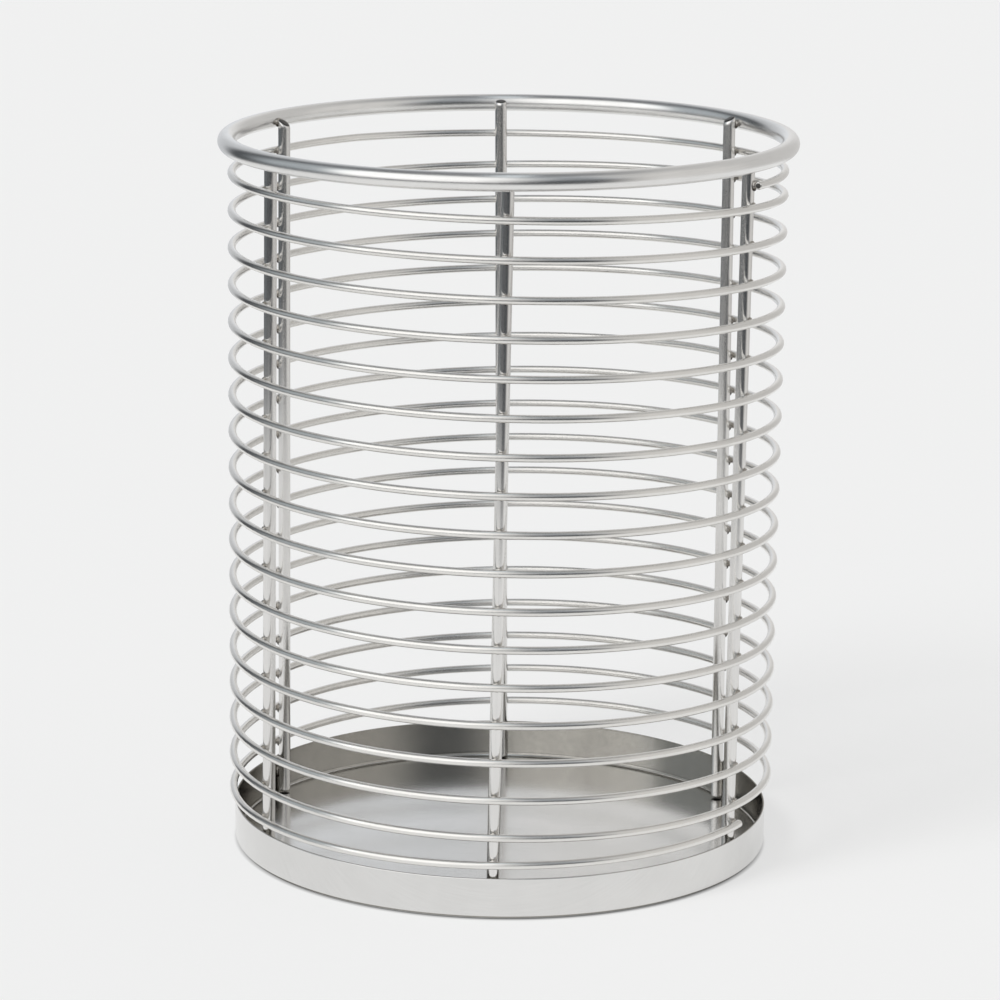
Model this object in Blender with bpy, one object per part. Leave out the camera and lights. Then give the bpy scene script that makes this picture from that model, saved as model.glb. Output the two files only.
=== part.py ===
"""Wire utensil holder, welded from stainless steel wire and one drawn tray.

A round base pan carries six upright rods. A thick rim ring goes round their tops,
and one thin wire is wound round them, eighteen turns from the rim down to the pan.
Lengths are in metres and angles in radians. +Z is up, the origin is on the table
under the holder's centre, and the photographed front looks towards -Y. Bearings run
counter-clockwise from +X, seen from above.
"""

import math

import bmesh
import bpy
from mathutils import Quaternion, Vector

FULL_TURN = 2.0 * math.pi

# Driving dimensions: what the pieces share
CAGE_RADIUS = 0.0610            # inner face of the rim, of the coil and of the pan's wall
WELD_GAP = 0.0003               # clearance kept where two pieces are welded

# Base pan
PAN_HEIGHT = 0.0094
PAN_SHEET = 0.0005
PAN_BEND = 0.0010               # inner radius where the floor turns up into the wall

# Upright rods
ROD_COUNT = 6
ROD_DIAMETER = 0.0028
ROD_END_ROUNDING = 0.0007
FIRST_ROD_BEARING = math.radians(30.0)
# How far round from even spacing each photographed rod's foot and head are welded
ROD_FOOT_LEANS = [math.radians(degrees) for degrees in (-1.7, -0.3, 1.2, -1.2, -1.3, -0.1)]
ROD_HEAD_LEANS = [math.radians(degrees) for degrees in (0.5, 1.9, 1.3, 0.1, 0.0, 1.2)]

# Rim ring
RIM_WIRE = 0.0040
RIM_HEIGHT = 0.1624             # middle of the rim's wire above the table
RIM_TILT = math.radians(1.2)    # the photographed rim is welded on a little askew
RIM_HIGH_BEARING = math.radians(69.0)
ROD_HEAD_RISE = 0.0006          # the rods' heads stand this far above the rim wire's middle

# Coil
COIL_WIRE = 0.0018
COIL_TURNS = 18
COIL_BELOW_RIM = 0.0060         # first turn's wire under the rim's wire, middle to middle
COIL_ABOVE_PAN = 0.0032         # middle of the last turn's wire above the pan's edge
COIL_TILT = math.radians(0.3)   # the photographed coil is wound a little out of level too
COIL_HIGH_BEARING = math.radians(0.0)
COIL_LEVEL_TURNS = 0.43         # part of a turn that runs level at each end
COIL_END_ROD = 5                # both ends are welded to this rod, counted from 0
COIL_OVERRUN = 0.0005           # how far each cut end passes that rod

# Fineness of the curved faces
ROUND_STEPS = 72                # round the ring and the pan
COIL_POINTS_PER_TURN = 24
RIM_SIDES = 12
ROD_SIDES = 16
BEND_STEPS = 4
END_ROUNDING_STEPS = 2
SHARP_ANGLE = math.radians(35.0)

# Places that follow from the dimensions above
ROD_CIRCLE = CAGE_RADIUS - WELD_GAP - ROD_DIAMETER / 2.0
RIM_CIRCLE = CAGE_RADIUS + RIM_WIRE / 2.0
COIL_CIRCLE = CAGE_RADIUS + COIL_WIRE / 2.0
ROD_FOOT_LEVEL = PAN_SHEET + max(WELD_GAP, PAN_BEND - ROD_END_ROUNDING)
COIL_TOP = RIM_HEIGHT - COIL_BELOW_RIM
COIL_BOTTOM = PAN_HEIGHT + COIL_ABOVE_PAN
COIL_FALLING_TURNS = COIL_TURNS - 2.0 * COIL_LEVEL_TURNS
COIL_PITCH = (COIL_TOP - COIL_BOTTOM) / COIL_FALLING_TURNS


def clear_scene():
    for old in list(bpy.data.objects):
        bpy.data.objects.remove(old, do_unlink=True)


def steel(name, colour, roughness):
    material = bpy.data.materials.new(name)
    material.use_nodes = True
    shader = material.node_tree.nodes["Principled BSDF"]
    shader.inputs["Base Color"].default_value = (*colour, 1.0)
    shader.inputs["Metallic"].default_value = 1.0
    shader.inputs["Roughness"].default_value = roughness
    return material


def on_circle(radius, bearing, height):
    return Vector((radius * math.cos(bearing), radius * math.sin(bearing), height))


def rod_bearing(index, share):
    """Bearing of a rod that share of the way from its foot to its head."""
    foot_lean = ROD_FOOT_LEANS[index % len(ROD_FOOT_LEANS)]
    head_lean = ROD_HEAD_LEANS[index % len(ROD_HEAD_LEANS)]
    return FIRST_ROD_BEARING + index * FULL_TURN / ROD_COUNT + foot_lean + share * (head_lean - foot_lean)


def place_mesh(bm, name, material):
    """Turn a finished bmesh into a smooth-shaded object with its own material."""
    bmesh.ops.recalc_face_normals(bm, faces=bm.faces[:])
    mesh = bpy.data.meshes.new(name)
    bm.to_mesh(mesh)
    bm.free()
    mesh.shade_smooth()
    mesh.set_sharp_from_angle(angle=SHARP_ANGLE)
    mesh.materials.append(material)
    piece = bpy.data.objects.new(name, mesh)
    bpy.context.scene.collection.objects.link(piece)
    return piece


def bend(radius, centre_radius, centre_height):
    """Points of a quarter bend, from straight down round to straight outwards."""
    points = []
    for step in range(BEND_STEPS + 1):
        angle = 0.5 * math.pi * (step / BEND_STEPS - 1.0)
        points.append((centre_radius + radius * math.cos(angle), centre_height + radius * math.sin(angle)))
    return points


def make_base_pan(material):
    """A tray of one sheet: flat floor, rounded bend, straight wall with a cut edge."""
    bend_centre_radius = CAGE_RADIUS - PAN_BEND
    bend_centre_height = PAN_SHEET + PAN_BEND
    inner = [(0.0, PAN_SHEET)]
    inner += bend(PAN_BEND, bend_centre_radius, bend_centre_height)
    inner.append((CAGE_RADIUS, PAN_HEIGHT))
    outer = [(0.0, 0.0)]
    outer += bend(PAN_BEND + PAN_SHEET, bend_centre_radius, bend_centre_height)
    outer.append((CAGE_RADIUS + PAN_SHEET, PAN_HEIGHT))
    profile = inner + outer[::-1]

    bm = bmesh.new()
    corners = [bm.verts.new((radius, 0.0, height)) for radius, height in profile]
    edges = [bm.edges.new(pair) for pair in zip(corners, corners[1:])]
    bmesh.ops.spin(bm, geom=corners + edges, cent=(0.0, 0.0, 0.0), axis=(0.0, 0.0, 1.0),
                   angle=FULL_TURN, steps=ROUND_STEPS, use_merge=True)
    bmesh.ops.remove_doubles(bm, verts=bm.verts[:], dist=1e-6)
    return place_mesh(bm, "base_pan", material)


def make_rim_ring(material):
    """A ring of thick round wire, tipped by its tilt towards its highest bearing."""
    bm = bmesh.new()
    section = bmesh.ops.create_circle(bm, segments=RIM_SIDES, radius=RIM_WIRE / 2.0)
    upright = Quaternion((1.0, 0.0, 0.0), math.pi / 2.0).to_matrix()
    bmesh.ops.rotate(bm, verts=section["verts"], matrix=upright)
    bmesh.ops.translate(bm, verts=section["verts"], vec=(RIM_CIRCLE, 0.0, 0.0))
    bmesh.ops.spin(bm, geom=bm.verts[:] + bm.edges[:], cent=(0.0, 0.0, 0.0), axis=(0.0, 0.0, 1.0),
                   angle=FULL_TURN, steps=ROUND_STEPS, use_merge=True)
    ring = place_mesh(bm, "rim_ring", material)
    tilt_axis = (math.sin(RIM_HIGH_BEARING), -math.cos(RIM_HIGH_BEARING), 0.0)
    ring.rotation_mode = "QUATERNION"
    ring.rotation_quaternion = Quaternion(tilt_axis, RIM_TILT)
    ring.location = (0.0, 0.0, RIM_HEIGHT)
    return ring


def rim_level(bearing):
    """Height of the rim wire's middle beside a rod at that bearing."""
    return RIM_HEIGHT + ROD_CIRCLE * math.tan(RIM_TILT) * math.cos(bearing - RIM_HIGH_BEARING)


def make_upright_rod(index, material):
    """A straight rod from the pan's floor to just above the middle of the rim's wire."""
    head_bearing = rod_bearing(index, 1.0)
    foot = on_circle(ROD_CIRCLE, rod_bearing(index, 0.0), ROD_FOOT_LEVEL)
    head = on_circle(ROD_CIRCLE, head_bearing, rim_level(head_bearing) + ROD_HEAD_RISE)
    length = (head - foot).length

    bm = bmesh.new()
    bmesh.ops.create_cone(bm, cap_ends=True, segments=ROD_SIDES, depth=length,
                          radius1=ROD_DIAMETER / 2.0, radius2=ROD_DIAMETER / 2.0)
    end_edges = [edge for edge in bm.edges if abs(edge.verts[0].co.z - edge.verts[1].co.z) < length / 2.0]
    bmesh.ops.bevel(bm, geom=end_edges, offset=ROD_END_ROUNDING, segments=END_ROUNDING_STEPS,
                    profile=0.5, affect="EDGES", material=-1)
    rod = place_mesh(bm, f"upright_rod_{index + 1}", material)
    rod.rotation_mode = "QUATERNION"
    rod.rotation_quaternion = (head - foot).to_track_quat("Z", "Y")
    rod.location = (foot + head) / 2.0
    return rod


def coil_point(turn):
    """Middle of the coil's wire, that many turns down from the head of the rod it starts on."""
    fallen = min(max(turn - COIL_LEVEL_TURNS, 0.0), COIL_FALLING_TURNS)
    bearing = rod_bearing(COIL_END_ROD, 1.0 - turn / COIL_TURNS) + FULL_TURN * turn
    rise = COIL_CIRCLE * math.tan(COIL_TILT) * math.cos(bearing - COIL_HIGH_BEARING)
    return on_circle(COIL_CIRCLE, bearing, COIL_TOP - COIL_PITCH * fallen + rise)


def coil_route():
    """Points along the whole wire, with the first and last moved out past the end rod."""
    overrun = COIL_OVERRUN / (FULL_TURN * COIL_CIRCLE)
    last = COIL_TURNS * COIL_POINTS_PER_TURN
    turns = [step / COIL_POINTS_PER_TURN for step in range(last + 1)]
    turns[0] -= overrun
    turns[last] += overrun
    return [coil_point(turn) for turn in turns]


def least_coil_gap(route):
    """Least clear space between one turn's wire and another's, measured on the points."""
    half_turn = COIL_POINTS_PER_TURN // 2
    least = min(
        (route[later] - route[earlier]).length
        for earlier in range(len(route))
        for later in range(earlier + half_turn, len(route))
    )
    return least - COIL_WIRE


def make_coil_wire(material):
    """One unbroken thin wire, wound counter-clockwise and downwards round the rods."""
    route = coil_route()
    curve = bpy.data.curves.new("coil_wire", "CURVE")
    curve.dimensions = "3D"
    curve.twist_mode = "Z_UP"
    curve.bevel_depth = COIL_WIRE / 2.0
    curve.bevel_resolution = 1
    curve.use_fill_caps = True
    spline = curve.splines.new("POLY")
    spline.points.add(len(route) - 1)
    for point, place in zip(spline.points, route):
        point.co = (*place, 1.0)
    spline.use_smooth = True
    curve.materials.append(material)
    coil = bpy.data.objects.new("coil_wire", curve)
    bpy.context.scene.collection.objects.link(coil)
    gap = least_coil_gap(route)
    print(f"coil: pitch {COIL_PITCH * 1000:.2f} mm, least gap to itself {gap * 1000:.2f} mm")
    return coil


clear_scene()
make_base_pan(steel("pan_sheet_steel", (0.62, 0.61, 0.59), 0.24))
make_rim_ring(steel("rim_wire_steel", (0.66, 0.65, 0.63), 0.28))
rod_steel = steel("rod_wire_steel", (0.64, 0.63, 0.61), 0.26)
for rod_index in range(ROD_COUNT):
    make_upright_rod(rod_index, rod_steel)
make_coil_wire(steel("coil_wire_steel", (0.66, 0.65, 0.62), 0.26))
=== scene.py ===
"""Wire utensil holder: the finish and the fine shapes of a welded stainless steel holder.

A drawn sheet pan, six upright rods inside its wall, a thick rim ring round their heads
and one thin wire wound round them eighteen times. Metres, +Z up, photographed front
towards -Y. Bearings run counter-clockwise from +X, seen from above.
"""

import math

import bmesh
import bpy
from mathutils import Matrix, Quaternion, Vector


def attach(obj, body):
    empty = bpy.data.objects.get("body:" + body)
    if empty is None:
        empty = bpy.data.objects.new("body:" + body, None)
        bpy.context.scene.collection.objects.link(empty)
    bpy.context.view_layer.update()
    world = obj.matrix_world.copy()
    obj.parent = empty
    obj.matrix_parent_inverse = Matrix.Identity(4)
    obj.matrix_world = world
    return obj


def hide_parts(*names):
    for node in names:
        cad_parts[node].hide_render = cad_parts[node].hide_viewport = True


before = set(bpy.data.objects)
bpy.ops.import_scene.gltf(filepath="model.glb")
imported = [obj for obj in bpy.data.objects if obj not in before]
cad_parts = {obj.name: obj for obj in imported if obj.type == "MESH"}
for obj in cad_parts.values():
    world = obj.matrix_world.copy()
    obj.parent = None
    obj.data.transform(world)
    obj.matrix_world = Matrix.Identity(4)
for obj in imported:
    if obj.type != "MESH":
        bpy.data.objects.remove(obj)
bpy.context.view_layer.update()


# Base pan: one tray of thin stainless sheet, drawn in a press, so its floor turns
# up into a low straight wall through a small bend. The cut edge is only tumbled
# smooth. The sheet keeps its satin rolling grain, and its floor is a dull mirror.

full_turn = 2.0 * math.pi
origin = (0.0, 0.0, 0.0)
upwards = (0.0, 0.0, 1.0)
same_place = 1e-6
near = 1e-5
pan_outside = 0.0615
pan_height = 0.0094
sheet = 0.0005
pan_inside = pan_outside - sheet
inner_bend = 0.0010
outer_bend = inner_bend + sheet
tumbled_edge = 0.00016
pan_steps = 240

# Points a hold away from each bend keep the flats between the bends flat in their shading.
hold = 0.0003

# How steel looks close up: how much of its unevenness is grain rather than cloudiness, the
# spreads of unevenness over which its tone and its shine change, and how deep the grain is.
grain_share = 0.55
cloud_scale = 110.0
tone_spread = (0.36, 0.62)
shine_spread = (0.3, 0.7)
dullest, shiniest = 1.2, 0.85
grain_depth = 0.00003
drawn_scoring = 0.75
rolling_stretch = (70.0, 2800.0, 0.0)
scuff_scale = 900.0


def ring_edges(bm, radius, height):
    """The edges that run round the axis at that radius and height."""
    def on_ring(vertex):
        return abs(vertex.co.xy.length - radius) < near and abs(vertex.co.z - height) < near
    return [edge for edge in bm.edges if all(on_ring(vertex) for vertex in edge.verts)]


def round_off(bm, edges, radius, segments):
    bmesh.ops.bevel(bm, geom=edges, offset=radius, segments=segments, profile=0.5,
                    affect="EDGES", material=-1)


def mesh_from(bm, name, materials):
    mesh = bpy.data.meshes.new(name)
    bm.to_mesh(mesh)
    bm.free()
    for material in materials:
        mesh.materials.append(material)
    return mesh


def put_in_scene(name, data):
    thing = bpy.data.objects.new(name, data)
    bpy.context.scene.collection.objects.link(thing)
    return thing


def finish_piece(bm, name, materials, nodes=()):
    """Close the mesh up, shade it smooth, and hang it on the frame in place of its solids."""
    bmesh.ops.remove_doubles(bm, verts=bm.verts[:], dist=same_place)
    bmesh.ops.recalc_face_normals(bm, faces=bm.faces[:])
    mesh = mesh_from(bm, name, materials)
    mesh.shade_smooth()
    piece = put_in_scene(name, mesh)
    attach(piece, "root")
    if nodes:
        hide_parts(*nodes)


def add_node(tree, kind, inputs=(), output=0, **settings):
    """Add a shader node, link or set its inputs, and return one of its outputs."""
    node = tree.nodes.new(kind)
    for key, value in settings.items():
        setattr(node, key, value)
    for key, value in dict(inputs).items():
        if isinstance(value, bpy.types.NodeSocket):
            tree.links.new(value, node.inputs[key])
        else:
            node.inputs[key].default_value = value
    return node.outputs[output]


class Finish:
    """A material under construction: each call adds to it and returns the output that it ends in."""

    def __init__(self, name):
        self.material = bpy.data.materials.new(name)
        self.material.use_nodes = True
        self.tree = self.material.node_tree
        self.shader = self.tree.nodes["Principled BSDF"]

    def node(self, kind, inputs=(), output=0, **settings):
        return add_node(self.tree, kind, inputs, output, **settings)

    def math(self, operation, first, second=0.0, third=0.0):
        return self.node("ShaderNodeMath", {0: first, 1: second, 2: third}, operation=operation)

    def ramp(self, value, low, high, to_low, to_high):
        return self.node("ShaderNodeMapRange", {"Value": value, "From Min": low, "From Max": high,
                                                "To Min": to_low, "To Max": to_high})

    def blend(self, share, first, second):
        """The first colour, turning into the second as the share goes from nought to one."""
        return self.node("ShaderNodeMix", {0: share, 6: first, 7: second}, output=2, data_type="RGBA")

    def feed(self, name, value):
        self.tree.links.new(value, self.shader.inputs[name])

    def place(self):
        return self.node("ShaderNodeTexCoord", output="Object")

    def outward(self):
        return self.node("ShaderNodeTexCoord", output="Normal")

    def speckle(self, scale, detail):
        """Unevenness that runs no way in particular."""
        return self.node("ShaderNodeTexNoise", {"Vector": self.place(), "Scale": scale, "Detail": detail})

    def lines(self, place, stretch):
        """Unevenness drawn out into lines: slow along them, quick across them."""
        stretched = self.node("ShaderNodeMapping", {"Vector": place, "Scale": stretch})
        return self.node("ShaderNodeTexNoise",
                         {"Vector": stretched, "Scale": 1.0, "Detail": 4.0, "Roughness": 0.6})

    def satin_steel(self, grain, bright, dull, roughness, relief, scored_along=None):
        """Stainless steel: the grain lines and a slow cloudiness change its tone, shine and relief.

        Drawing scores a wire lengthwise, so it blurs what it mirrors across the scores.
        """
        cloud = self.speckle(cloud_scale, 3.0)
        mottle = self.math("MULTIPLY_ADD", grain, grain_share,
                           self.math("MULTIPLY", cloud, 1.0 - grain_share))
        tone = self.ramp(mottle, *tone_spread, 0.0, 1.0)
        self.feed("Base Color", self.blend(tone, (*dull, 1.0), (*bright, 1.0)))
        self.feed("Roughness", self.ramp(mottle, *shine_spread, roughness * dullest, roughness * shiniest))
        self.feed("Normal", self.node("ShaderNodeBump", {"Strength": relief, "Distance": grain_depth,
                                                         "Height": grain}))
        self.shader.inputs["Metallic"].default_value = 1.0
        if scored_along is not None:
            across = self.node("ShaderNodeVectorMath", {0: self.outward(), 1: scored_along},
                               operation="CROSS_PRODUCT")
            self.feed("Tangent", across)
            self.shader.inputs["Anisotropic"].default_value = drawn_scoring
        return self.material


# The grain lies across the flat blank, and the wall is that blank's margin turned up.
pan_finish = Finish("satin_rolled_sheet")
spot = pan_finish.place()
height_here = pan_finish.node("ShaderNodeSeparateXYZ", {0: spot}, output="Z")
laid_flat = pan_finish.math("MULTIPLY_ADD", height_here, 1.0 / pan_outside, 1.0)
unrolled = pan_finish.node("ShaderNodeVectorMath", {0: spot, "Scale": laid_flat}, operation="SCALE")
rolling_grain = pan_finish.lines(unrolled, rolling_stretch)
pan_steel = pan_finish.satin_steel(rolling_grain, (0.770, 0.764, 0.752), (0.730, 0.724, 0.712), 0.16, 0.06)

# Inside, the wall is a darker, duller grey steel than outside. It dims what
# it mirrors at a slant.
drawn_finish = Finish("dull_drawn_wall")
scuffs = drawn_finish.speckle(scuff_scale, 4.0)
drawn_steel = drawn_finish.satin_steel(scuffs, (0.482, 0.468, 0.434), (0.418, 0.405, 0.374), 0.18, 0.08)
drawn_finish.shader.inputs["Specular Tint"].default_value = (0.30, 0.29, 0.28, 1.0)

bm = bmesh.new()
outline = [(0.0, sheet), (pan_inside - inner_bend - hold, sheet), (pan_inside, sheet),
           (pan_inside, sheet + inner_bend + hold), (pan_inside, pan_height - hold), (pan_inside, pan_height),
           (pan_outside, pan_height), (pan_outside, pan_height - hold), (pan_outside, outer_bend + hold),
           (pan_outside, 0.0), (pan_outside - outer_bend - hold, 0.0), (0.0, 0.0)]
corners = [bm.verts.new((radius, 0.0, height)) for radius, height in outline]
edges = [bm.edges.new(pair) for pair in zip(corners, corners[1:])]
bmesh.ops.spin(bm, geom=corners + edges, cent=origin, axis=upwards, angle=full_turn, steps=pan_steps,
               use_merge=True)
bmesh.ops.remove_doubles(bm, verts=bm.verts[:], dist=same_place)
cut_edge = ring_edges(bm, pan_inside, pan_height) + ring_edges(bm, pan_outside, pan_height)
round_off(bm, ring_edges(bm, pan_inside, sheet), inner_bend, 8)
round_off(bm, ring_edges(bm, pan_outside, 0.0), outer_bend, 10)
round_off(bm, cut_edge, tumbled_edge, 3)
for face in bm.faces:
    middle = face.calc_center_median()
    if middle.z > sheet and abs(middle.xy.length - pan_inside) < hold:
        face.material_index = 1
finish_piece(bm, "pan_sheet", [pan_steel, drawn_steel], ["base_pan"])


# Upright rods: six straight lengths of bright drawn stainless wire. Their cut ends are
# tumbled round and left dark. The feet stand inside the pan's wall, a hair above its
# floor, and the heads inside the rim, where they are cropped at a slant, lower towards
# the axis. Each was welded a degree or so off its place.

cage_radius = 0.0610
weld_gap = 0.0003
rod_wire = 0.0028
rod_circle = cage_radius - weld_gap - rod_wire / 2.0
rod_end_rounding = 0.0007
rod_foot_level = sheet + max(weld_gap, inner_bend - rod_end_rounding)
rod_head_rise = 0.0006
rod_sides = 40
rod_count = 6
end_face_slope = 0.7

# The first rod's bearing and the leans of feet and heads off even spacing are in degrees.
# Each head was cropped at its own slant, and a little higher or lower.
first_rod = 30.0
foot_leans = (-1.7, -0.3, 1.2, -1.2, -1.3, -0.1)
head_leans = (0.5, 1.9, 1.3, 0.1, 0.0, 1.2)
crop_slants = [math.radians(slant) for slant in (26.0, 12.0, 33.0, 18.0, 24.0, 15.0)]
crop_rises = (0.0003, 0.0003, -0.0009, 0.0, 0.0, 0.0)

# What the rods share with the rim: it is tipped a little, and its wire is drawn as theirs is.
rim_height = 0.1624
rim_tilt = math.radians(1.2)
rim_high_bearing = math.radians(69.0)
lines_along, lines_across = 40.0, 3200.0
torn_scale = 3000.0


def rod_bearing(index, share):
    """Bearing of a rod that share of the way from its foot to its head."""
    lean = foot_leans[index] + share * (head_leans[index] - foot_leans[index])
    return math.radians(first_rod + lean) + index * full_turn / rod_count


def on_circle(radius, bearing, height):
    return Vector((radius * math.cos(bearing), radius * math.sin(bearing), height))


def rim_level(bearing):
    """The rim's height over that bearing of the rods' circle: it is tipped a little."""
    return rim_height + rod_circle * math.tan(rim_tilt) * math.cos(bearing - rim_high_bearing)


def rod_line(index):
    """A rod's foot and head on its axis."""
    head_bearing = rod_bearing(index, 1.0)
    return (on_circle(rod_circle, rod_bearing(index, 0.0), rod_foot_level),
            on_circle(rod_circle, head_bearing, rim_level(head_bearing) + rod_head_rise))


def rising_towards(bearing, slope):
    """Slants what is level, so that it rises towards that bearing."""
    slanted = Matrix.Identity(4)
    slanted[2][0] = math.tan(slope) * math.cos(bearing)
    slanted[2][1] = math.tan(slope) * math.sin(bearing)
    return slanted


rod_finish = Finish("bright_drawn_rod")
drawing_lines = rod_finish.lines(rod_finish.place(), (lines_across, lines_across, lines_along))
rod_steel = rod_finish.satin_steel(drawing_lines, (0.810, 0.800, 0.785), (0.750, 0.740, 0.725), 0.20, 0.12,
                                   scored_along=upwards)

end_finish = Finish("sheared_wire_end")
torn_grain = end_finish.speckle(torn_scale, 4.0)
end_steel = end_finish.satin_steel(torn_grain, (0.13, 0.125, 0.12), (0.07, 0.068, 0.066), 0.36, 0.5)

for index in range(rod_count):
    foot, head = rod_line(index)
    length = (head - foot).length
    bm = bmesh.new()
    bmesh.ops.create_cone(bm, cap_ends=True, segments=rod_sides, depth=length,
                          radius1=rod_wire / 2.0, radius2=rod_wire / 2.0)
    cut_edges = [edge for edge in bm.edges if abs(edge.verts[0].co.z - edge.verts[1].co.z) < length / 2.0]
    round_off(bm, cut_edges, rod_end_rounding, 6)
    for end in (-1.0, 1.0):
        bmesh.ops.bisect_plane(bm, geom=bm.verts[:] + bm.edges[:] + bm.faces[:], plane_no=upwards,
                               plane_co=(0.0, 0.0, end * (length / 2.0 - rod_end_rounding - hold)))
    for face in bm.faces:
        face.material_index = 1 if abs(face.normal.z) > end_face_slope else 0
    lean = (head - foot).to_track_quat("Z", "Y").to_matrix().to_4x4()
    bmesh.ops.transform(bm, matrix=Matrix.Translation((foot + head) / 2.0) @ lean, verts=bm.verts[:])
    cropped = [vertex for vertex in bm.verts if vertex.co.z > head.z - rod_end_rounding - 2.0 * hold]
    rise = Vector((0.0, 0.0, crop_rises[index]))
    crop = (Matrix.Translation(head + rise) @ rising_towards(rod_bearing(index, 1.0), crop_slants[index])
            @ Matrix.Translation(-head))
    bmesh.ops.transform(bm, matrix=crop, verts=cropped)
    finish_piece(bm, f"rod_{index + 1}", [rod_steel, end_steel], [f"upright_rod_{index + 1}"])


# Rim ring: one length of thick drawn stainless wire, bent round, butt welded and
# polished to a soft satin. It goes outside the rods' heads, and on the real one it
# sits a little askew. Its drawing lines run round the ring.

rim_wire = 0.0040
rim_circle = cage_radius + rim_wire / 2.0
rim_steps = 288
rim_sides = 48
tip = Quaternion((math.sin(rim_high_bearing), -math.cos(rim_high_bearing), 0.0), rim_tilt)


def round_the_axis(finish):
    """The direction that runs level round the axis."""
    return finish.node("ShaderNodeVectorMath", {0: upwards, 1: finish.place()}, operation="CROSS_PRODUCT")


def ring_grain(finish, untip=(0.0, 0.0, 0.0)):
    """Drawing lines of a wire that runs round the axis: slow along it, quick across it."""
    straight = finish.node("ShaderNodeMapping", {"Vector": finish.place(), "Rotation": untip})
    flat = finish.node("ShaderNodeVectorMath", {0: straight, 1: (1.0, 1.0, 0.0)}, operation="MULTIPLY")
    radius_here = finish.node("ShaderNodeVectorMath", {0: flat}, output="Value", operation="LENGTH")
    height_here = finish.node("ShaderNodeSeparateXYZ", {0: straight}, output="Z")
    slow = finish.node("ShaderNodeVectorMath", {0: flat, "Scale": lines_along}, operation="SCALE")
    quick = finish.node("ShaderNodeCombineXYZ", {"Z": finish.math("MULTIPLY", radius_here, lines_across)})
    return finish.node("ShaderNodeTexNoise",
                       {"Vector": finish.node("ShaderNodeVectorMath", {0: slow, 1: quick}, operation="ADD"),
                        "W": finish.math("MULTIPLY", height_here, lines_across),
                        "Scale": 1.0, "Detail": 4.0, "Roughness": 0.6},
                       noise_dimensions="4D")


def wire_section(bm, wire, sides, circle, height):
    """A wire's round section, where that circle crosses +X at that height."""
    section = bmesh.ops.create_circle(bm, segments=sides, radius=wire / 2.0)["verts"]
    bmesh.ops.rotate(bm, verts=section, cent=origin, matrix=Matrix.Rotation(math.pi / 2.0, 3, "X"))
    bmesh.ops.translate(bm, verts=section, vec=(circle, 0.0, height))
    return section


rim_finish = Finish("satin_rim_wire")
rim_steel = rim_finish.satin_steel(ring_grain(rim_finish, tip.inverted().to_euler()),
                                   (0.840, 0.834, 0.822), (0.785, 0.779, 0.767), 0.23, 0.12,
                                   scored_along=round_the_axis(rim_finish))

bm = bmesh.new()
wire_section(bm, rim_wire, rim_sides, rim_circle, 0.0)
bmesh.ops.spin(bm, geom=bm.verts[:] + bm.edges[:], cent=origin, axis=upwards, angle=full_turn,
               steps=rim_steps, use_merge=True)
bmesh.ops.transform(bm, matrix=Matrix.Translation((0.0, 0.0, rim_height)) @ tip.to_matrix().to_4x4(),
                    verts=bm.verts[:])
finish_piece(bm, "rim_wire_ring", [rim_steel], ["rim_ring"])


# Wound wire: one unbroken length of thin drawn stainless wire, wound outside the rods on
# a former, a little out of level. It starts and ends level, with plain cut ends on the
# front right rod, and falls evenly in between as it runs counter-clockwise.

coil_wire = 0.0018
coil_circle = cage_radius + coil_wire / 2.0
coil_turns = 18
coil_level_turns = 0.43
coil_falling_turns = coil_turns - 2.0 * coil_level_turns
coil_top = rim_height - 0.0060
coil_bottom = pan_height + 0.0032
coil_pitch = (coil_top - coil_bottom) / coil_falling_turns
coil_tilt = math.radians(0.3)
coil_high_bearing = math.radians(0.0)
coil_end_rod = 5
coil_overrun = 0.0005
coil_sides = 20
coil_steps = 96
cut_end_rounding = 0.0003


def coil_level(turn):
    """The level wire's height after that many turns."""
    return coil_top - coil_pitch * min(max(turn - coil_level_turns, 0.0), coil_falling_turns)


def coil_tip(bearing):
    """How far the tilt lifts the wire at that bearing."""
    return coil_circle * math.tan(coil_tilt) * math.cos(bearing - coil_high_bearing)


coil_finish = Finish("satin_wound_wire")
coil_steel = coil_finish.satin_steel(ring_grain(coil_finish),
                                     (0.828, 0.814, 0.788), (0.773, 0.759, 0.733), 0.20, 0.12,
                                     scored_along=round_the_axis(coil_finish))

overrun = coil_overrun / coil_circle / full_turn
turn_angle = full_turn + (rod_bearing(coil_end_rod, 0.0) - rod_bearing(coil_end_rod, 1.0)) / coil_turns
bm = bmesh.new()


def section_at(turn):
    """The wire's section after that many turns, ready to be wound on."""
    section = wire_section(bm, coil_wire, coil_sides, coil_circle, coil_level(turn))
    bmesh.ops.rotate(bm, verts=section, cent=origin,
                     matrix=Matrix.Rotation(rod_bearing(coil_end_rod, 1.0) + turn * turn_angle, 3, "Z"))
    return section + list({edge for vertex in section for edge in vertex.link_edges})


def wind(live_end, turns, drop):
    """Wind the wire on by that many turns, falling by the drop in each. Returns its new end."""
    steps = max(1, round(turns * coil_steps))
    wound = bmesh.ops.spin(bm, geom=live_end, cent=origin, axis=upwards, angle=turns * turn_angle,
                           dvec=(0.0, 0.0, -drop * turns / steps), steps=steps)
    return wound["geom_last"]


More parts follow.
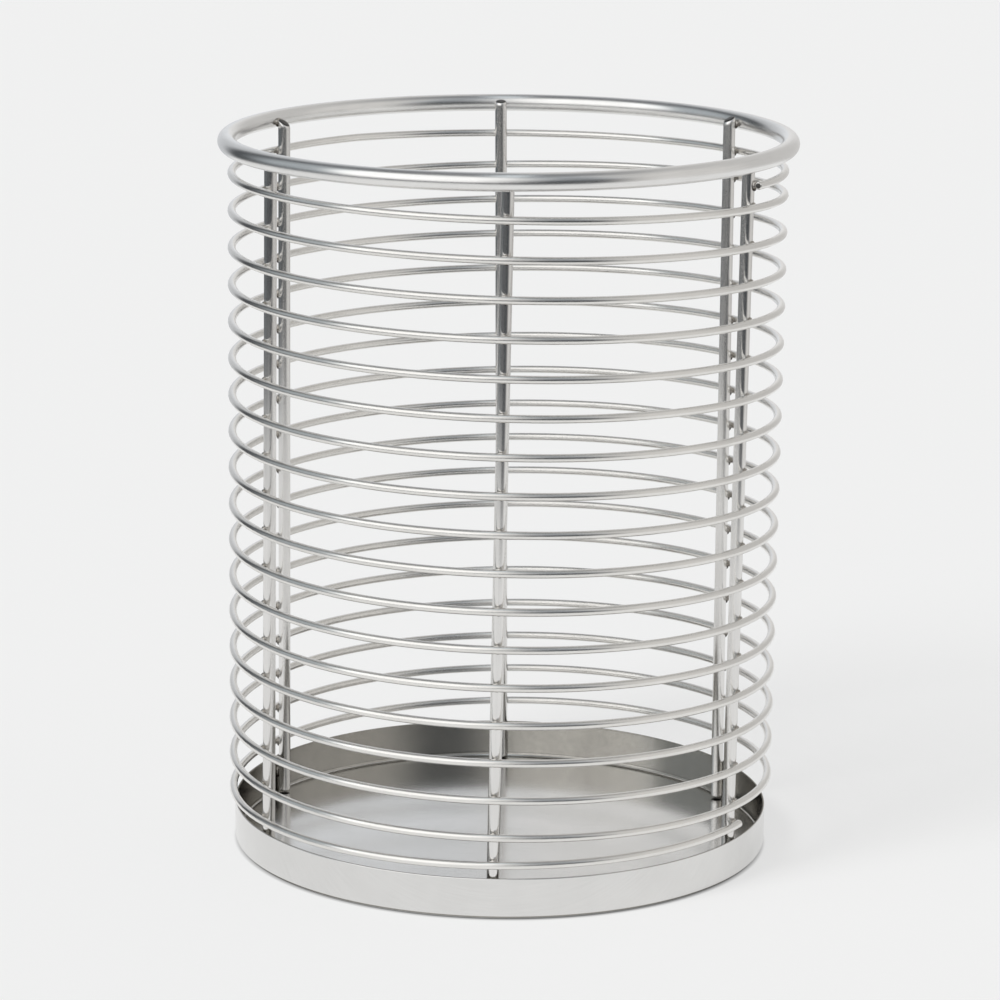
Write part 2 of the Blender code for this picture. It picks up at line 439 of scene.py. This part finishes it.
# One falling turn is wound, and the other whole ones are copies of it.
wind(section_at(0.0 - overrun), coil_level_turns + overrun, 0.0)
level_part = set(bm.verts)
wind(section_at(coil_level_turns), 1.0, coil_pitch)
one_turn = [vertex for vertex in bm.verts if vertex not in level_part]
one_turn += [edge for edge in bm.edges if edge.verts[0] not in level_part]
one_turn += [face for face in bm.faces if face.verts[0] not in level_part]
whole_turns = int(coil_falling_turns)
for turn in range(1, whole_turns):
    copy = bmesh.ops.duplicate(bm, geom=one_turn)["geom"]
    copied = [item for item in copy if isinstance(item, bmesh.types.BMVert)]
    down = Matrix.Translation((0.0, 0.0, -turn * coil_pitch)) @ Matrix.Rotation(turn * turn_angle, 4, "Z")
    bmesh.ops.transform(bm, matrix=down, verts=copied)
live_end = wind(section_at(coil_level_turns + whole_turns), coil_falling_turns - whole_turns, coil_pitch)
wind(live_end, coil_level_turns + overrun, 0.0)
bmesh.ops.remove_doubles(bm, verts=bm.verts[:], dist=2.0 * same_place)

# The two cut ends are closed and rounded, and only their flats are dark.
open_edges = [edge for edge in bm.edges if edge.is_boundary]
bmesh.ops.edgeloop_fill(bm, edges=open_edges)
round_off(bm, open_edges, cut_end_rounding, 3)
for face in bm.faces:
    face.material_index = 1 if len(face.verts) == coil_sides else 0
bmesh.ops.transform(bm, matrix=rising_towards(coil_high_bearing, coil_tilt), verts=bm.verts[:])
finish_piece(bm, "wound_wire", [coil_steel, end_steel], ["coil_wire"])


# Welds: at each crossing the two wires are pressed together and fused by a current,
# which squeezes out a small bead of their own steel, with painted shade on its underside. The beads
# close the gap between the pieces: 109 on the wound wire, six at the rim, six in the pan.

bead_sag = 0.0001
rim_bead_drop = 0.0005
pan_bead_height = 0.0055
pit_scale = 4500.0

weld_finish = Finish("fused_steel_bead")
pits = weld_finish.speckle(pit_scale, 3.0)
weld_steel = weld_finish.satin_steel(pits, (0.66, 0.635, 0.60), (0.30, 0.27, 0.23), 0.20, 0.9)
unshaded_bead_tone = weld_finish.shader.inputs["Base Color"].links[0].from_socket
# Painted shade: the side of each bead that faces down is darkened by its normal, standing in for shade under
# it.
facing = weld_finish.node("ShaderNodeSeparateXYZ", {0: weld_finish.outward()}, output="Z")
painted_underside_shade = weld_finish.ramp(facing, 0.1, -0.35, 0.0, 1.0)
weld_finish.feed("Base Color", weld_finish.blend(painted_underside_shade, unshaded_bead_tone, (0.07, 0.06, 0.05, 1.0)))


def weld_beads(name, places, radial, sidewise, upright):
    """One bead for each (rod, height): an egg of fused steel between the rod and what is outside it."""
    bm = bmesh.new()
    for index, height in places:
        foot, head = rod_line(index)
        on_rod = foot.lerp(head, (height - foot.z) / (head.z - foot.z))
        bearing = math.atan2(on_rod.y, on_rod.x)
        seat = (Matrix.Translation(on_circle(cage_radius - weld_gap / 2.0, bearing, height))
                @ Matrix.Rotation(bearing, 4, "Z"))
        bmesh.ops.create_uvsphere(bm, u_segments=10, v_segments=8, radius=1.0,
                                  matrix=seat @ Matrix.Diagonal((radial, sidewise, upright, 1.0)))
    finish_piece(bm, name, [weld_steel])


coil_beads = []
for crossing in range(coil_turns * rod_count + 1):
    index = (coil_end_rod + crossing) % rod_count
    turn = crossing / rod_count
    height = coil_level(turn) + coil_tip(rod_bearing(index, 1.0 - turn / coil_turns))
    coil_beads.append((index, height - bead_sag))
rim_beads = [(index, rim_level(rod_bearing(index, 1.0)) - rim_bead_drop) for index in range(rod_count)]
pan_beads = [(index, pan_bead_height) for index in range(rod_count)]
weld_beads("coil_welds", coil_beads, radial=0.0005, sidewise=0.0008, upright=0.00118)
weld_beads("rim_welds", rim_beads, radial=0.0005, sidewise=0.0013, upright=0.0011)
weld_beads("pan_welds", pan_beads, radial=0.0005, sidewise=0.0013, upright=0.0016)


# Table: a sheet of smooth pale paper that the holder stands on. To the camera it is
# evenly pale without end, and it carries the soft shadow. The metal sees it fade
# out some way off, into the room beyond the table's edge.

paper = 0.30
paper_glow = 0.592
paper_reach = 20.0
side_edge = (0.42, 0.66)
front_edge = (0.36, 0.55)
front_edge_skew = 0.37
table = Finish("pale_table")
spot = table.place()
east_and_north = table.node("ShaderNodeSeparateXYZ", {0: spot}).node.outputs
from_centre = table.node("ShaderNodeVectorMath", {0: spot}, output="Value", operation="LENGTH")
towards_front = table.math("SUBTRACT", table.math("MULTIPLY", east_and_north["X"], front_edge_skew),
                           east_and_north["Y"])


def past(distance, edge):
    """Nought on the near side of that soft edge, one beyond it."""
    return table.node("ShaderNodeMapRange", {"Value": distance, "From Min": edge[0], "From Max": edge[1]},
                      interpolation_type="SMOOTHSTEP")


past_edge = table.math("MAXIMUM", past(from_centre, side_edge), past(towards_front, front_edge))
seen_by = table.node("ShaderNodeLightPath").node.outputs
watched = table.math("ADD", table.math("ADD", seen_by["Is Camera Ray"], seen_by["Is Glossy Ray"]),
                     seen_by["Is Transmission Ray"])

# The paper's glow is cut off just round and under the pan: a painted contact shadow, a dark line where the
# pan meets it.
glow_with_painted_contact_shadow = table.ramp(from_centre, pan_outside - 0.0014, pan_outside + 0.0004, 0.0, paper_glow)
table.feed("Emission Strength", table.math("MULTIPLY", table.math("MINIMUM", watched, 1.0), glow_with_painted_contact_shadow))
table.shader.inputs["Base Color"].default_value = (paper, paper, paper, 1.0)
table.shader.inputs["Emission Color"].default_value = (1.0, 1.0, 0.995, 1.0)
table.shader.inputs["Roughness"].default_value = 0.9
table.shader.inputs["Specular IOR Level"].default_value = 0.0
open_air = table.node("ShaderNodeBsdfTransparent")
surface = table.node("ShaderNodeMixShader", {0: table.math("MULTIPLY", past_edge, seen_by["Is Glossy Ray"]),
                                             1: table.shader.outputs["BSDF"], 2: open_air})
table.tree.links.new(surface, table.tree.nodes["Material Output"].inputs["Surface"])

bm = bmesh.new()
bmesh.ops.create_grid(bm, x_segments=8, y_segments=8, size=paper_reach)
table_top = put_in_scene("table_top", mesh_from(bm, "table_top", [table.material]))

# The flash in the soft box throws the shadow. It isn't mirrored: the box itself is, below.
sun = bpy.data.lights.new("soft_box_flash", "SUN")
sun.energy = 1.65
sun.angle = math.radians(20.0)
flash = put_in_scene("soft_box_flash", sun)
flash.rotation_euler = (math.radians(50.0), 0.0, math.radians(-48.0))
flash.visible_glossy = False


# Studio: a big soft box at the front left with its spill beside it, a pale wall from the
# right round to the back, and a dim bluish room in between. Angles are in degrees:
# azimuth from the front towards the right, elevation up from the horizon.

dim_room = (0.065, 0.070, 0.076)
backdrop_tone = (0.87, 0.87, 0.87)
cool = (0.92, 1.0, 1.05)
world = bpy.data.worlds.new("studio")
bpy.context.scene.world = world
world.use_nodes = True
room = world.node_tree


def room_math(operation, first, second=0.0, third=0.0):
    return add_node(room, "ShaderNodeMath", {0: first, 1: second, 2: third}, operation=operation)


def fade(value, start, end):
    """Nought before start, one after end, or the other way round where end comes first."""
    low, high, first, last = (start, end, 0.0, 1.0) if start < end else (end, start, 1.0, 0.0)
    return add_node(room, "ShaderNodeMapRange",
                    {"Value": value, "From Min": low, "From Max": high, "To Min": first, "To Max": last},
                    interpolation_type="SMOOTHSTEP")


looking = add_node(room, "ShaderNodeTexCoord", output="Generated")
heading = add_node(room, "ShaderNodeSeparateXYZ", {0: looking}).node.outputs
to_degrees = 180.0 / math.pi
from_front = room_math("ARCTAN2", heading["X"], room_math("MULTIPLY", heading["Y"], -1.0))
azimuth = room_math("MULTIPLY", from_front, to_degrees)
elevation = room_math("MULTIPLY", room_math("ARCSINE", heading["Z"]), to_degrees)
light = add_node(room, "ShaderNodeCombineXYZ", {0: dim_room[0], 1: dim_room[1], 2: dim_room[2]})


def add_panel(colour, strength, *edges):
    """Add a soft-edged panel: it shines where all its fades are one."""
    global light
    share = edges[0]
    for edge in edges[1:]:
        share = room_math("MULTIPLY", share, edge)
    shine = add_node(room, "ShaderNodeVectorMath",
                     {0: colour, "Scale": room_math("MULTIPLY", share, strength)}, operation="SCALE")
    light = add_node(room, "ShaderNodeVectorMath", {0: light, 1: shine}, operation="ADD")


# The soft box leans a little to the right, and its top is rounded about its middle.
box_middle = -38.0
off_middle = room_math("ADD", azimuth, -box_middle)
box_right = fade(room_math("MULTIPLY_ADD", elevation, -0.28, azimuth), 16.0, -22.0)
box_left = fade(room_math("MULTIPLY_ADD", elevation, 0.35, azimuth), -77.0, -57.0)
box_foot = fade(elevation, -7.0, 4.5)
rounded = room_math("MULTIPLY_ADD", room_math("MULTIPLY", off_middle, off_middle), 0.006, elevation)
box_top = fade(rounded, 78.0, 52.0)
add_panel((1.005, 1.0, 0.99), 1.20, box_left, box_right, box_foot, box_top)

# Its spill, on the left.
spill_sides = room_math("MULTIPLY", fade(azimuth, -134.0, -104.0), fade(azimuth, -58.0, -78.0))
add_panel(cool, 0.08, spill_sides, fade(elevation, 66.0, 36.0))
add_panel(cool, 0.32, spill_sides, fade(elevation, 66.0, 36.0), fade(elevation, -8.0, 12.0))

# The pale wall on the right, warmest where it is nearest.
add_panel((1.025, 1.0, 0.97), 0.53, fade(azimuth, 32.0, 56.0), fade(elevation, 84.0, 42.0))
add_panel((1.03, 1.0, 0.95), 0.11, fade(azimuth, 45.0, 65.0), fade(azimuth, 115.0, 90.0),
          fade(elevation, 70.0, 30.0))

# The wall goes on round the back, brightest straight behind.
behind = room_math("ABSOLUTE", azimuth)
add_panel((0.98, 1.0, 1.03), 0.53, fade(azimuth, -134.0, -152.0), fade(elevation, 76.0, 24.0))
add_panel((0.98, 1.0, 1.03), 0.20, fade(behind, 155.0, 180.0), fade(elevation, 76.0, 32.0),
          fade(elevation, -25.0, 0.0))

# The ceiling, a patch high up between box and wall, and a narrow strip lamp overhead.
add_panel((0.96, 1.0, 1.04), 0.13, fade(elevation, 40.0, 75.0))
add_panel((0.94, 1.0, 1.06), 0.28, fade(azimuth, 0.0, 18.0), fade(azimuth, 60.0, 40.0),
          fade(elevation, 8.0, 34.0), fade(elevation, 80.0, 58.0))
add_panel((0.92, 1.0, 1.06), 0.66, fade(room_math("ABSOLUTE", heading["X"]), 0.11, 0.04),
          fade(heading["Y"], 0.3, 0.0), fade(elevation, 58.0, 70.0))

seen_by = add_node(room, "ShaderNodeLightPath").node.outputs
shown = add_node(room, "ShaderNodeMix", {0: seen_by["Is Camera Ray"], 4: light, 5: backdrop_tone},
                 output=1, data_type="VECTOR")
room.links.new(shown, room.nodes["Background"].inputs["Color"])


# Camera: where the photographer stood, a long lens a little above the rim and tipped
# down at the holder. Its yaw, pitch and roll are in radians.

camera_place = (0.0, -0.8028, 0.2601)
camera_yaw, camera_pitch, camera_roll = -0.0011, 0.2211, 0.0131
sensor_width = 36.0
focal_length = 129.48
forward = Vector((math.sin(camera_yaw) * math.cos(camera_pitch),
                  math.cos(camera_yaw) * math.cos(camera_pitch), -math.sin(camera_pitch)))
level_right = Vector((math.cos(camera_yaw), -math.sin(camera_yaw), 0.0))
level_up = level_right.cross(forward)
right = math.cos(camera_roll) * level_right + math.sin(camera_roll) * level_up
upward = -math.sin(camera_roll) * level_right + math.cos(camera_roll) * level_up

lens = bpy.data.cameras.new("photo_camera")
lens.sensor_width = sensor_width
lens.lens = focal_length
lens.clip_start = 0.01
lens.clip_end = 100.0
camera = put_in_scene("photo_camera", lens)
camera.matrix_world = (Matrix.Translation(camera_place)
                       @ Matrix((right, upward, -forward)).transposed().to_4x4())
bpy.context.scene.camera = camera
bpy.context.scene.view_settings.view_transform = "Standard"
